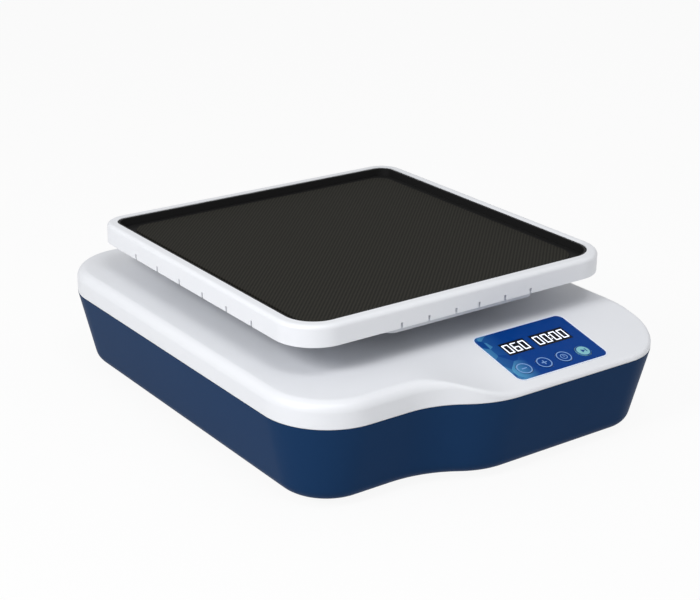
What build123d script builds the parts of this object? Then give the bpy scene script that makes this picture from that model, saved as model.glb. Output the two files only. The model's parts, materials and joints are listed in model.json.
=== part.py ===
from build123d import *
import math
import os

# Orbital shaker, in millimetres. Z is up, X is to the user's right, and the control panel faces -Y.
# The origin is on the bench, under the middle of the housing.

# Housing
half_width = 121.0
half_length = 148.0
step_depth = 18.0
corner_front_left = 39.0
corner_front_right = 34.0
corner_back = 38.0
step_start_x = -57.0
step_end_x = 4.4
foot_height = 3.5
seam_z = 51.0
cover_height = 15.0
wall = 3.0
base_draft = 13.0
base_edge_radius = 10.0
cover_edge_radius = 6.0
nose_edge_height = 3.0
nose_edge_radius = 2.2
panel_length = 52.0
fold_lift = 0.6
lip_depth = 3.0
lip_wall = 1.6
lip_clearance = 0.3

# Drive
drive_y = 9.0
orbit_radius = 5.0
idler_spread = 55.0
plate_z = 30.0
plate_thickness = 3.0
plate_half_x = 74.0
plate_half_y = 78.0
plate_post_x = 68.0
plate_post_y = 71.0
shaft_radius = 6.0
shaft_foot_z = 11.0
drive_bearing_radius = 14.0
drive_bearing_width = 8.0
small_bearing_radius = 8.0
small_bearing_bore = 4.0
small_bearing_width = 5.0
press_gap = 0.02
running_gap = 0.03
open_pin_gap = 0.3
crank_gap = 2.5
crank_thickness = 6.5
counterweight_radius = 34.0
counterweight_angle = 150.0
crank_hub_radius = 14.0
idler_disc_radius = 12.0
pin_shoulder_radius = 5.5

# Belt and motor
tooth_pitch = 5.0
driven_teeth = 40
motor_teeth = 14
belt_width = 9.0
belt_thickness = 1.6
belt_gap = 0.3
pulley_z = 13.0
pulley_width = 12.0
pulley_flange = 1.2
pulley_flange_reach = 2.2
motor_distance = 53.0
motor_radius = 21.0
motor_height = 26.0
motor_shaft_radius = 2.5

# Platform
tray_half = 110.0
tray_height = 12.1
shoulder_height = 4.9
holder_lip = 1.0
tray_corner_front = 24.0
tray_corner_back = 15.5
rim_width = 6.2
rim_edge_radius = 2.6
skirt_wall = 3.0
tray_floor = 3.0
liner_wall = 1.5
liner_gap = 0.15
liner_drop = 0.4
mat_thickness = 1.5
mat_depth = 3.8
mat_margin = 8.1
mat_corner = 10.0
notch_width = 1.6
notch_height = 3.2
carrier_gap = 0.5
carrier_thickness = 3.0
carrier_front_inset = 3.5
carrier_side_inset = 9.0
carrier_arm_x = 52.0
carrier_arm_y = 69.0
carrier_corner = 6.0
holder_flange_radius = 17.0
holder_flange = 2.5
holder_wall = 3.0

# Control panel, measured along the slope from the middle of the film
film_width = 67.0
film_height = 44.5
film_corner = 5.0
film_thickness = 0.6
film_recess = 0.5
film_gap = 0.15
film_from_step = 38.6
film_from_nose = 28.6
window_height = 11.4
speed_window_width = 18.2
timer_window_width = 25.0
speed_window_x = -13.2
timer_window_x = 12.3
window_y = 5.5
key_radius = 4.7
key_y = -13.0
key_spacing = 14.5
key_first_x = -23.0
key_travel = 0.35
key_gap = 0.3
key_pocket = 1.3
board_depth = 9.0
board_thickness = 1.6
board_width = 62.0
board_height = 36.0

# Feet, screws and rear wall
foot_radius = 11.0
foot_from_side = 35.0
foot_from_nose = 57.0
foot_from_back = 39.0
column_from_side = 35.0
column_y = 68.0
column_radius = 6.0
screw_radius = 1.7
screw_gap = 0.1
screw_head_radius = 3.4
screw_head = 2.2
foot_screw_length = 11.0
cover_screw_length = 20.0
chassis_screw_length = 14.0
motor_screw_length = 7.0
tray_screw_length = 7.0
board_screw_length = 5.0
power_screw_length = 6.0
power_board_x = -45.0
power_board_from_nose = 55.0
power_board_width = 70.0
power_board_length = 30.0
power_board_z = 12.0
rear_z = 28.0
inlet_from_side = 73.0
switch_from_side = 45.0
vent_count = 9
vent_width = 2.4
vent_height = 20.0
vent_spacing = 6.0
rocker_tilt = 10.0

# Values that follow from the sizes above
cover_top_z = seam_z + cover_height
nose_y = -half_length
front_left_y = nose_y + step_depth
panel_fold_y = nose_y + panel_length
nose_top_z = seam_z + nose_edge_height
panel_slope = math.degrees(math.atan2(cover_top_z - nose_top_z, panel_fold_y - nose_y))
base_floor_z = foot_height + wall
plate_top_z = plate_z + plate_thickness
cover_under_z = cover_top_z - wall
crank_z = cover_top_z + crank_gap
crank_top_z = crank_z + crank_thickness
pin_bearing_z = crank_top_z + shoulder_height
pin_top_z = pin_bearing_z + small_bearing_width
holder_z = pin_bearing_z - holder_lip
carrier_z = holder_z + holder_flange
carrier_top_z = carrier_z + carrier_thickness
rim_bottom_z = carrier_top_z + carrier_gap
tray_top_z = rim_bottom_z + tray_height
liner_floor_z = tray_top_z - mat_depth - mat_thickness
tray_floor_top_z = liner_floor_z - liner_wall
tray_floor_z = tray_floor_top_z - tray_floor
driven_radius = driven_teeth * tooth_pitch / math.pi / 2
motor_pulley_radius = motor_teeth * tooth_pitch / math.pi / 2
motor_y = drive_y + motor_distance
notch_depth = skirt_wall
idler_places = [(x, drive_y + y) for x in (-idler_spread, idler_spread) for y in (-idler_spread, idler_spread)]
tray_middle = (orbit_radius, drive_y)
screw_hole_radius = screw_radius + screw_gap
key_places = [key_first_x + key_spacing * place for place in range(4)]
post_places = [(x, drive_y + y) for x in (-plate_post_x, plate_post_x) for y in (-plate_post_y, plate_post_y)]
foot_x = half_width - foot_from_side
foot_places = [(x, y) for x in (-foot_x, foot_x) for y in (nose_y + foot_from_nose, half_length - foot_from_back)]
column_x = half_width - column_from_side
film_middle_x = step_end_x + film_from_step
film_middle_y = nose_y + film_from_nose
power_board_y = nose_y + power_board_from_nose
inlet_x = inlet_from_side - half_width
switch_x = switch_from_side - half_width
column_places = [(x, drive_y + y) for x in (-column_x, column_x) for y in (-column_y, column_y)]

os.makedirs("parts", exist_ok=True)


def save(name, *solids):
    """Writes one piece, or one group of like pieces, as a file of its own."""
    shape = solids[0] if len(solids) == 1 else Compound(children=list(solids))
    shape.label = name
    export_step(shape, f"parts/{name}.step")


def rod(x, y, z, radius, height):
    """An upright cylinder whose foot is at z."""
    return Pos(x, y, z) * Cylinder(radius, height, align=(Align.CENTER, Align.CENTER, Align.MIN))


def ring(x, y, z, outer, inner, height):
    """An upright tube whose foot is at z."""
    return rod(x, y, z, outer, height) - rod(x, y, z - 1, inner, height + 2)


def block(x, y, z, width, length, height):
    """An upright box, centred in plan, whose foot is at z."""
    return Pos(x, y, z) * Box(width, length, height, align=(Align.CENTER, Align.CENTER, Align.MIN))


def screw(x, y, z, length, up=True, head_radius=screw_head_radius, head=screw_head, radius=screw_radius):
    """A screw whose head seats at z and whose shank runs up or down from there."""
    if up:
        return rod(x, y, z - head, head_radius, head) + rod(x, y, z, radius, length)
    return rod(x, y, z, head_radius, head) + rod(x, y, z - length, radius, length)


def bearing(x, y, z, outer, bore, width):
    """A shielded ball bearing, drawn as one ring with a shallow groove on each face."""
    body = ring(x, y, z, outer, bore, width)
    middle = (outer + bore) / 2
    groove = (outer - bore) * 0.22
    for foot in (z - 1, z + width - 0.4):
        body -= ring(x, y, foot, middle + groove, middle - groove, 1.4)
    return body


def housing_outline(inset, z):
    """The plan of the housing, drawn in by an inset: rounded corners and a stepped front."""
    left = -half_width + inset
    right = half_width - inset
    back = half_length - inset
    front = front_left_y + inset
    nose = nose_y + inset
    half_run = (step_end_x - step_start_x) / 2
    half_drop = (front_left_y - nose_y) / 2
    step_radius = (half_run**2 + half_drop**2) / (2 * half_drop)
    step_angle = math.degrees(math.asin(half_run / step_radius))
    hollow = step_radius + inset
    bulge = step_radius - inset
    r_left = corner_front_left - inset
    r_right = corner_front_right - inset
    r_back = corner_back - inset
    edges = [
        Line((left, back - r_back), (left, front + r_left)),
        CenterArc((left + r_left, front + r_left), r_left, 180, 90),
        Line((left + r_left, front), (step_start_x, front)),
        CenterArc((step_start_x, front - hollow), hollow, 90, -step_angle),
        CenterArc((step_end_x, nose + bulge), bulge, 270 - step_angle, step_angle),
        Line((step_end_x, nose), (right - r_right, nose)),
        CenterArc((right - r_right, nose + r_right), r_right, 270, 90),
        Line((right, nose + r_right), (right, back - r_back)),
        CenterArc((right - r_back, back - r_back), r_back, 0, 90),
        Line((right - r_back, back), (left + r_back, back)),
        CenterArc((left + r_back, back - r_back), r_back, 90, 90),
    ]
    return Pos(0, 0, z) * make_face(edges)


def panel_cutter(drop):
    """The space over the sloped panel: it fades out across the step in the front."""
    steepness = math.tan(math.radians(panel_slope))
    low_y = nose_y - 20
    high_y = panel_fold_y + 60
    roof = cover_top_z + 60

    def section(x, share):
        lift = fold_lift * (1 - share) - drop
        low_z = cover_top_z + lift + steepness * share * (low_y - panel_fold_y)
        high_z = cover_top_z + lift + steepness * share * (high_y - panel_fold_y)
        corners = [(x, low_y, low_z), (x, high_y, high_z), (x, high_y, roof), (x, low_y, roof)]
        return make_face(Polyline(*corners, close=True))

    shares = [0.0, 0.25, 0.5, 0.75, 1.0]
    run = step_end_x - step_start_x
    faces = [section(step_start_x + run * share, share**2 * (3 - 2 * share)) for share in shares]
    full = extrude(section(step_end_x, 1.0), amount=half_width + 30 - step_end_x, dir=(1, 0, 0))
    return loft(faces) + full


def cover_form(inset):
    """The solid form of the cover: a flat top that slopes down over the panel."""
    height = cover_height - inset
    flat = extrude(housing_outline(inset, seam_z), amount=height)
    flat = fillet(flat.faces().sort_by(Axis.Z)[-1].edges(), cover_edge_radius - inset)
    sloped = extrude(housing_outline(inset, seam_z), amount=cover_height + 30)
    sloped -= panel_cutter(inset / math.cos(math.radians(panel_slope)))
    if inset == 0:
        tops = [face for face in sloped.faces() if face.normal_at().Z > 0.5]
        edges = [edge for face in tops for edge in face.edges() if edge.center().Y < panel_fold_y]
        rims = [edge for edge in edges if on_outline(edge)]
        sloped = fillet(rims, nose_edge_radius)
    return flat, sloped


def on_outline(edge):
    """Whether an edge lies where the sloped panel meets the nose or its right corner."""
    middle = edge.center()
    return middle.Y < nose_y + corner_front_right and middle.X > step_end_x + 1


def rounded_square(half, front_radius, back_radius, z, middle=tray_middle):
    """A square in plan whose front corners are rounder than its back ones."""
    x, y = middle
    edges = [
        Line((x - half, y + half - back_radius), (x - half, y - half + front_radius)),
        CenterArc((x - half + front_radius, y - half + front_radius), front_radius, 180, 90),
        Line((x - half + front_radius, y - half), (x + half - front_radius, y - half)),
        CenterArc((x + half - front_radius, y - half + front_radius), front_radius, 270, 90),
        Line((x + half, y - half + front_radius), (x + half, y + half - back_radius)),
        CenterArc((x + half - back_radius, y + half - back_radius), back_radius, 0, 90),
        Line((x + half - back_radius, y + half), (x - half + back_radius, y + half)),
        CenterArc((x - half + back_radius, y + half - back_radius), back_radius, 90, 90),
    ]
    return Pos(0, 0, z) * make_face(edges)


# The panel's own frame: x to the right, y up the slope, z out of the panel
panel_sine = math.sin(math.radians(panel_slope))
panel_cosine = math.cos(math.radians(panel_slope))
film_middle_z = cover_top_z + (film_middle_y - panel_fold_y) * math.tan(math.radians(panel_slope))
panel = Plane(
    origin=(film_middle_x, film_middle_y, film_middle_z),
    x_dir=(1, 0, 0),
    z_dir=(0, -panel_sine, panel_cosine),
).location

# The rear wall's own frame: x to the right seen from behind, y up the wall, z out of it
draft_sine = math.sin(math.radians(base_draft))
draft_cosine = math.cos(math.radians(base_draft))


def rear(x):
    """The frame of the rear wall's outer face at the height of the sockets."""
    y = half_length - (seam_z - rear_z) * math.tan(math.radians(base_draft))
    return Plane(origin=(x, y, rear_z), x_dir=(-1, 0, 0), z_dir=(0, draft_cosine, -draft_sine)).location


def slab(x, y, low, width, length, height, corner=0.0):
    """A flat block whose foot is at low, with rounded upright edges where asked."""
    if corner > 0:
        return Pos(x, y, low) * extrude(RectangleRounded(width, length, corner), amount=height)
    return block(x, y, low, width, length, height)


# Base shell
def make_base():
    """The coloured lower shell: drafted walls, floor, bosses, vents and rear cut-outs."""
    outer = extrude(housing_outline(0, seam_z), amount=seam_z - foot_height, dir=(0, 0, -1), taper=base_draft)
    outer = fillet(outer.faces().sort_by(Axis.Z)[0].edges(), base_edge_radius)
    inner = extrude(housing_outline(wall, seam_z), amount=seam_z - base_floor_z, dir=(0, 0, -1), taper=base_draft)
    inner = fillet(inner.faces().sort_by(Axis.Z)[0].edges(), base_edge_radius - wall)
    shell = outer - inner
    for x, y in post_places:
        shell += ring(x, y, base_floor_z - 0.5, 5.0, screw_hole_radius, plate_z - base_floor_z + 0.5)
    for x, y in foot_places:
        shell += rod(x, y, base_floor_z - 0.5, 5.0, 10.0)
        shell -= rod(x, y, foot_height - 1, screw_hole_radius, 12.5)
    for x, y in column_places:
        shell += rod(x, y, base_floor_z - 0.5, column_radius, column_top_z - base_floor_z + 0.5)
        shell -= rod(x, y, 0, screw_head_radius + 0.4, column_seat_z)
        shell -= rod(x, y, 0, screw_hole_radius, seam_z)
    for x, y in power_posts:
        shell += ring(x, y, base_floor_z - 0.5, 3.5, screw_hole_radius, power_board_z - base_floor_z + 0.5)
    for place in range(vent_count):
        x = (place - (vent_count - 1) / 2) * vent_spacing
        shell -= rear(vent_x + x) * slab(0, 0, -3 * wall, vent_width, vent_height, 5 * wall, vent_width / 2.01)
        for y in floor_vent_places:
            slot = extrude(RectangleRounded(vent_width, floor_vent_length, vent_width / 2.01), amount=wall + 2)
            shell -= Pos(x, y, foot_height - 1) * slot
    shell -= rear(switch_x) * slab(0, 0, -3 * wall, switch_cut_width, switch_cut_height, 6 * wall)
    shell -= rear(inlet_x) * Cylinder(inlet_radius + 0.1, 8 * wall)
    return shell


column_top_z = 40.0
column_seat_z = 28.0
cover_boss_radius = 5.0
vent_x = 20.0
floor_vent_length = 30.0
floor_vent_places = (nose_y + 78.0, half_length - 48.0)
power_posts = [
    (power_board_x + x, power_board_y + y)
    for x in (4 - power_board_width / 2, power_board_width / 2 - 4)
    for y in (4 - power_board_length / 2, power_board_length / 2 - 4)
]
switch_cut_width = 13.2
switch_cut_height = 19.4
inlet_radius = 5.5

# Top cover
seal_hole_radius = small_bearing_radius
drive_seal_hole_radius = 2 * shaft_radius
board_post_places = [(x, y) for x in (-28.0, 28.0) for y in (-4.2, 15.0)]


def make_cover():
    """The white upper shell: flat deck, sloped panel, shaft holes, panel cut-outs and bosses."""
    flat, sloped = cover_form(0)
    flat_in, sloped_in = cover_form(wall)
    shell = (flat & sloped) - (flat_in & sloped_in)
    lip_inset = wall + (lip_depth * math.tan(math.radians(base_draft))) + lip_clearance
    lip_foot = seam_z - lip_depth
    lip = extrude(housing_outline(lip_inset, lip_foot), amount=lip_depth + 1)
    lip -= extrude(housing_outline(lip_inset + lip_wall, lip_foot), amount=lip_depth + 1)
    bridge = extrude(housing_outline(wall - 0.5, seam_z), amount=1.6)
    bridge -= extrude(housing_outline(lip_inset + lip_wall, seam_z), amount=1.6)
    shell += lip
    shell += bridge
    for x, y in column_places:
        boss = rod(x, y, column_top_z, cover_boss_radius, cover_under_z - column_top_z + 0.5)
        shell += boss
        shell -= rod(x, y, column_top_z - 1, screw_hole_radius, 15)
    for x, y in idler_places:
        shell -= rod(x, y, cover_under_z - 1, seal_hole_radius, wall + 2)
    shell -= rod(0, drive_y, cover_under_z - 1, drive_seal_hole_radius, wall + 2)
    for x, y in board_post_places:
        post = ring(x, y, -board_depth, 2.6, screw_hole_radius * 0.7, board_depth - wall + 0.5)
        shell += panel * post
    shell -= panel * slab(0, 0, -film_recess, film_width, film_height, 5, film_corner)
    for x in key_places:
        shell -= panel * rod(x, key_y, -key_pocket, key_radius + key_gap, 5)
        shell -= panel * rod(x, key_y, -2 * wall, plunger_radius + key_gap, 10)
    for x, width in windows:
        shell -= panel * slab(x, window_y, -2 * wall, width + 0.4, window_height + 0.4, 10)
    return shell


plunger_radius = 2.0
windows = [(speed_window_x, speed_window_width), (timer_window_x, timer_window_width)]

save("base_shell", make_base())
save("top_cover", make_cover())

# Feet and housing screws
foot_screw_seat = 2.0
feet = []
foot_screws = []
for x, y in foot_places:
    foot = rod(x, y, 0, foot_radius, foot_height)
    foot = chamfer(foot.faces().sort_by(Axis.Z)[0].edges(), 0.8)
    foot -= rod(x, y, -1, screw_head_radius + 0.5, foot_screw_seat + 1)
    foot -= rod(x, y, -1, screw_hole_radius, foot_height + 2)
    feet.append(foot)
    foot_screws.append(screw(x, y, foot_screw_seat, foot_screw_length, head=1.5))
save("rubber_feet", *feet)
save("foot_screws", *foot_screws)
save("cover_screws", *[screw(x, y, column_seat_z, cover_screw_length) for x, y in column_places])

# Chassis plate
plate = slab(0, drive_y, plate_z, 2 * plate_half_x, 2 * plate_half_y, plate_thickness, 8)
for x, y in post_places:
    plate -= rod(x, y, plate_z - 1, screw_hole_radius + 0.2, plate_thickness + 2)
plate -= rod(0, drive_y, plate_z - 1, shaft_radius + 4, plate_thickness + 2)
plate -= rod(0, motor_y, plate_z - 1, motor_shaft_radius + 4, plate_thickness + 2)
motor_screw_circle = 15.0
motor_screw_places = [
    (motor_screw_circle * math.cos(math.radians(angle)), motor_y + motor_screw_circle * math.sin(math.radians(angle)))
    for angle in (45, 135, 225, 315)
]
for x, y in motor_screw_places:
    plate -= rod(x, y, plate_z - 1, 1.7, plate_thickness + 2)
housing_flange_radius = 28.0
housing_screw_circle = 24.0
housing_screw_places = [
    (housing_screw_circle * math.cos(math.radians(angle)), drive_y + housing_screw_circle * math.sin(math.radians(angle)))
    for angle in (0, 90, 180, 270)
]
tower_flange_radius = 16.0
tower_screw_reach = 13.0
tower_screw_places = [
    (x + side * tower_screw_reach, y) for x, y in idler_places for side in (-1, 1)
]
for x, y in housing_screw_places + tower_screw_places:
    plate -= rod(x, y, plate_z - 1, screw_hole_radius, plate_thickness + 2)
save("chassis_plate", plate)
save("chassis_screws", *[screw(x, y, plate_top_z, chassis_screw_length, up=False) for x, y in post_places])

# Drive housing with its two bearings
housing_flange = 4.0
housing_wall = 5.0
housing_top_z = cover_under_z - 3.0
lower_seat_z = plate_top_z + 1.5
upper_seat_z = housing_top_z - drive_bearing_width - 1.0
tube_radius = drive_bearing_radius + housing_wall
housing = rod(0, drive_y, plate_top_z, housing_flange_radius, housing_flange)
housing += rod(0, drive_y, plate_top_z, tube_radius, housing_top_z - plate_top_z)
housing -= rod(0, drive_y, plate_top_z - 1, shaft_radius + 4, housing_top_z)
housing -= rod(0, drive_y, lower_seat_z, drive_bearing_radius + press_gap, drive_bearing_width)
housing -= rod(0, drive_y, upper_seat_z, drive_bearing_radius + press_gap, housing_top_z)
for x, y in housing_screw_places:
    housing -= rod(x, y, plate_top_z - 1, screw_hole_radius, housing_flange + 2)
save("drive_housing", housing)
drive_bore = shaft_radius + running_gap
save("drive_bearing_lower", bearing(0, drive_y, lower_seat_z, drive_bearing_radius, drive_bore, drive_bearing_width))
save("drive_bearing_upper", bearing(0, drive_y, upper_seat_z, drive_bearing_radius, drive_bore, drive_bearing_width))
housing_seat_z = plate_top_z + housing_flange
save("housing_screws", *[screw(x, y, housing_seat_z, housing_flange + plate_thickness, up=False)
                         for x, y in housing_screw_places])

# Idler towers with two bearings each
tower_flange = 3.0
tower_wall = 2.6
tower_top_z = cover_under_z - 3.0
tower_radius = small_bearing_radius + tower_wall
tower_seats = (plate_top_z + 2.0, tower_top_z - small_bearing_width - 1.0)
idler_shaft_radius = small_bearing_bore - running_gap
for number, (x, y) in enumerate(idler_places, start=1):
    tower = rod(x, y, plate_top_z, tower_flange_radius, tower_flange)
    tower += rod(x, y, plate_top_z, tower_radius, tower_top_z - plate_top_z)
    tower -= rod(x, y, plate_top_z - 1, small_bearing_bore + 2, tower_top_z)
    tower -= rod(x, y, tower_seats[0], small_bearing_radius + press_gap, small_bearing_width)
    tower -= rod(x, y, tower_seats[1], small_bearing_radius + press_gap, tower_top_z)
    for side in (-1, 1):
        tower -= rod(x + side * tower_screw_reach, y, plate_top_z - 1, screw_hole_radius, tower_flange + 2)
    save(f"idler_tower_{number}", tower)
    pair = [bearing(x, y, seat, small_bearing_radius, small_bearing_bore, small_bearing_width)
            for seat in tower_seats]
    save(f"idler_bearings_{number}", *pair)
tower_seat_z = plate_top_z + tower_flange
save("tower_screws", *[screw(x, y, tower_seat_z, tower_flange + plate_thickness, up=False, head_radius=2.4)
                       for x, y in tower_screw_places])


# Seals round the shafts, pressed into the cover
def seal(x, y, hole, bore, flange):
    """A lipped dust ring: a sleeve in the cover's hole and a flange on the deck."""
    body = rod(x, y, cover_under_z, hole - press_gap, wall)
    body += rod(x, y, cover_top_z, hole + flange, 1.2)
    return body - rod(x, y, cover_under_z - 1, bore, wall + 4)


save("drive_seal", seal(0, drive_y, drive_seal_hole_radius, shaft_radius + open_pin_gap, 3.0))
save("idler_seals", *[seal(x, y, seal_hole_radius, small_bearing_bore + open_pin_gap, 2.0)
                      for x, y in idler_places])

# Crank that drives the platform
pin_x = orbit_radius
shaft = rod(0, drive_y, shaft_foot_z, shaft_radius, crank_top_z - 1.0 - shaft_foot_z)
save("drive_shaft", shaft)
sector = Pos(0, drive_y, crank_z) * extrude(
    make_face([
        CenterArc((0, 0), counterweight_radius, 180 - counterweight_angle / 2, counterweight_angle),
        Line((0, 0), CenterArc((0, 0), counterweight_radius, 180 - counterweight_angle / 2, 1) @ 0),
        Line((0, 0), CenterArc((0, 0), counterweight_radius, 180 + counterweight_angle / 2, 1) @ 0),
    ]),
    amount=crank_thickness,
)
crank = sector + rod(0, drive_y, crank_z, crank_hub_radius, crank_thickness)
crank -= rod(0, drive_y, crank_z - 1, shaft_radius + press_gap, crank_thickness)
crank -= rod(pin_x, drive_y, crank_top_z - 0.9, small_bearing_bore, 5)
save("drive_crank", crank)
pin = rod(pin_x, drive_y, crank_top_z - 0.9, small_bearing_bore - press_gap, pin_top_z - crank_top_z + 0.9)
pin += rod(pin_x, drive_y, crank_top_z, pin_shoulder_radius, pin_bearing_z - crank_top_z - 0.05)
save("drive_pin", pin)


def pulley(x, y, radius, teeth, bore, hub_radius, hub):
    """A flanged toothed pulley with its hub on top."""
    body = rod(x, y, pulley_z, radius, pulley_width)
    for tooth in range(teeth):
        angle = 2 * math.pi * tooth / teeth
        groove = rod(x + radius * math.cos(angle), y + radius * math.sin(angle), pulley_z - 1, 1.4, pulley_width + 2)
        body -= groove
    for foot in (pulley_z, pulley_z + pulley_width - pulley_flange):
        body += rod(x, y, foot, radius + pulley_flange_reach, pulley_flange)
    body += rod(x, y, pulley_z + pulley_width, hub_radius, hub)
    return body - rod(x, y, pulley_z - 1, bore, pulley_width + hub + 2)


pulley_hub = plate_z - 2.0 - pulley_z - pulley_width
driven = pulley(0, drive_y, driven_radius, driven_teeth, shaft_radius + press_gap, 11.0, pulley_hub)
for angle in range(30, 390, 60):
    reach = (driven_radius + 11.0) / 2
    driven -= rod(reach * math.cos(math.radians(angle)), drive_y + reach * math.sin(math.radians(angle)),
                  pulley_z - 1, 5.5, pulley_width + 2)
save("driven_pulley", driven)

# Idler cranks: shaft, disc and pin in one turned piece
idler_pin_radius = small_bearing_bore - open_pin_gap
for number, (x, y) in enumerate(idler_places, start=1):
    crank = rod(x, y, tower_seats[0] - 0.5, idler_shaft_radius, crank_z - tower_seats[0] + 0.5)
    crank += rod(x + orbit_radius / 2, y, crank_z, idler_disc_radius, crank_thickness)
    crank += rod(x + pin_x, y, crank_top_z, pin_shoulder_radius, pin_bearing_z - crank_top_z - open_pin_gap)
    crank += rod(x + pin_x, y, crank_top_z, idler_pin_radius, pin_top_z - crank_top_z)
    save(f"idler_crank_{number}", crank)

# Motor, its pulley and the belt
motor_step_radius = motor_shaft_radius + 3.5
motor = rod(0, motor_y, plate_top_z, motor_radius, motor_height)
motor = chamfer(motor.edges().filter_by(GeomType.CIRCLE), 1.0)
motor += rod(0, motor_y, plate_z + 0.5, motor_step_radius, plate_thickness)
motor -= rod(0, motor_y, plate_z - 1, motor_shaft_radius + 0.1, motor_height)
for x, y in motor_screw_places:
    motor -= rod(x, y, plate_top_z - 1, 1.5, 6)
save("motor_body", motor)
save("motor_screws", *[screw(x, y, plate_z, motor_screw_length, head_radius=2.8, head=1.8, radius=1.45)
                       for x, y in motor_screw_places])
shaft_top_z = plate_z + motor_height - 1.5
save("motor_shaft", rod(0, motor_y, pulley_z - 1, motor_shaft_radius, shaft_top_z - pulley_z + 1))
save("motor_pulley", pulley(0, motor_y, motor_pulley_radius, motor_teeth, motor_shaft_radius + press_gap,
                            motor_pulley_radius - 3, 1.5))


def belt_loop(grow):
    """The plan of the belt's path, a given distance outside both pulleys."""
    big = driven_radius + grow
    small = motor_pulley_radius + grow
    lean = math.acos((big - small) / motor_distance)
    touch_big = (big * math.sin(lean), drive_y + big * math.cos(lean))
    touch_small = (small * math.sin(lean), motor_y + small * math.cos(lean))
    mirror_small = (-touch_small[0], touch_small[1])
    mirror_big = (-touch_big[0], touch_big[1])
    middle = make_face(Polyline(touch_big, touch_small, mirror_small, mirror_big, close=True))
    return middle + Pos(0, drive_y) * Circle(big) + Pos(0, motor_y) * Circle(small)


belt_z = pulley_z + (pulley_width - belt_width) / 2
belt_face = belt_loop(belt_gap + belt_thickness) - belt_loop(belt_gap)
save("timing_belt", Pos(0, 0, belt_z) * extrude(belt_face, amount=belt_width))

# Tray frame
tray_x, tray_y = tray_middle
skirt_radii = (tray_corner_front, tray_corner_back)
front_notches = [side * (8.2 + 18.6 * step) for side in (-1, 1) for step in range(3)]
side_notches = [side * (12.6 + 25.2 * step) for side in (-1, 1) for step in range(3)]
tray_screw_reach = tray_half - 20.0
tray_screw_places = [(tray_x + sx * tray_screw_reach, tray_y + sy * 50.0) for sx in (-1, 1) for sy in (-1, 1)]
tray_screw_places += [(tray_x + sx * 35.0, tray_y + sy * tray_screw_reach) for sx in (-1, 1) for sy in (-1, 1)]


def make_tray():
    """The white tray: rim, floor, skirt, bosses and the slots along its lower edge."""
    body = extrude(rounded_square(tray_half, *skirt_radii, rim_bottom_z), amount=tray_height)
    body = fillet(body.faces().sort_by(Axis.Z)[-1].edges(), rim_edge_radius)
    recess = rounded_square(tray_half - rim_width, tray_corner_front - rim_width,
                            tray_corner_back - rim_width, tray_floor_top_z)
    body -= extrude(recess, amount=tray_height)
    under = rounded_square(tray_half - skirt_wall, tray_corner_front - skirt_wall,
                           tray_corner_back - skirt_wall, rim_bottom_z)
    body -= extrude(under, amount=tray_floor_z - rim_bottom_z)
    for x, y in tray_screw_places:
        body += rod(x, y, carrier_top_z, 5.0, tray_floor_z - carrier_top_z + 0.5)
        body -= rod(x, y, carrier_top_z - 1, screw_hole_radius, 5.5)
    for place in front_notches:
        for side in (-1, 1):
            y = tray_y + side * (tray_half - notch_depth / 2)
            body -= block(tray_x + place, y, rim_bottom_z, notch_width, notch_depth + 0.02, notch_height)
    for place in side_notches:
        for side in (-1, 1):
            x = tray_x + side * (tray_half - notch_depth / 2)
            body -= block(x, tray_y + place, rim_bottom_z, notch_depth + 0.02, notch_width, notch_height)
    return body


save("tray_frame", make_tray())

# Liner and mat
liner_half = tray_half - rim_width - liner_gap
liner_radii = (tray_corner_front - rim_width - liner_gap, tray_corner_back - rim_width - liner_gap)
liner = extrude(rounded_square(liner_half, *liner_radii, tray_floor_top_z),
                amount=tray_top_z - liner_drop - tray_floor_top_z)
inside = rounded_square(liner_half - liner_wall, liner_radii[0] - liner_wall, liner_radii[1] - liner_wall,
                        liner_floor_z)
liner -= extrude(inside, amount=tray_height)
save("tray_liner", liner)
mat_half = tray_half - rim_width - mat_margin
mat = extrude(rounded_square(mat_half, mat_corner + 4, mat_corner, liner_floor_z), amount=mat_thickness)
mat = fillet(mat.faces().sort_by(Axis.Z)[-1].edges(), 0.5)
save("anti_slip_mat", mat)

# Carrier plate, bearing holders and platform bearings
holder_places = [(x + pin_x, y) for x, y in idler_places] + [(pin_x, drive_y)]
holder_outer = small_bearing_radius + holder_wall
carrier = slab(tray_x, tray_y, carrier_z, 2 * carrier_arm_x, 2 * (tray_half - carrier_front_inset),
               carrier_thickness, carrier_corner)
carrier += slab(tray_x, tray_y, carrier_z, 2 * (tray_half - carrier_side_inset), 2 * carrier_arm_y,
                carrier_thickness, carrier_corner)
holder_screw_reach = 14.0
holder_screw_places = [(x + side * holder_screw_reach, y) for x, y in holder_places for side in (-1, 1)]
for x, y in holder_places:
    carrier -= rod(x, y, carrier_z - 1, holder_outer + 0.1, carrier_thickness + 2)
for x, y in tray_screw_places + holder_screw_places:
    carrier -= rod(x, y, carrier_z - 1, screw_hole_radius, carrier_thickness + 2)
save("carrier_plate", carrier)
save("tray_screws", *[screw(x, y, carrier_z, tray_screw_length) for x, y in tray_screw_places])
holders = []
for x, y in holder_places:
    holder = rod(x, y, holder_z, holder_flange_radius, holder_flange)
    holder += rod(x, y, holder_z, holder_outer, pin_top_z - holder_z + 0.4)
    holder -= rod(x, y, holder_z - 1, pin_shoulder_radius + 0.7, 10)
    holder -= rod(x, y, pin_bearing_z, small_bearing_radius + press_gap, 10)
    for side in (-1, 1):
        holder -= rod(x + side * holder_screw_reach, y, holder_z - 1, screw_hole_radius, holder_flange + 2)
    holders.append(holder)
save("bearing_holders", *holders)
save("holder_screws", *[screw(x, y, holder_z, holder_flange + carrier_thickness, head_radius=2.4, head=1.8)
                        for x, y in holder_screw_places])
save("pin_bearings", *[bearing(x, y, pin_bearing_z, small_bearing_radius, small_bearing_bore, small_bearing_width)
                       for x, y in holder_places])

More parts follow.
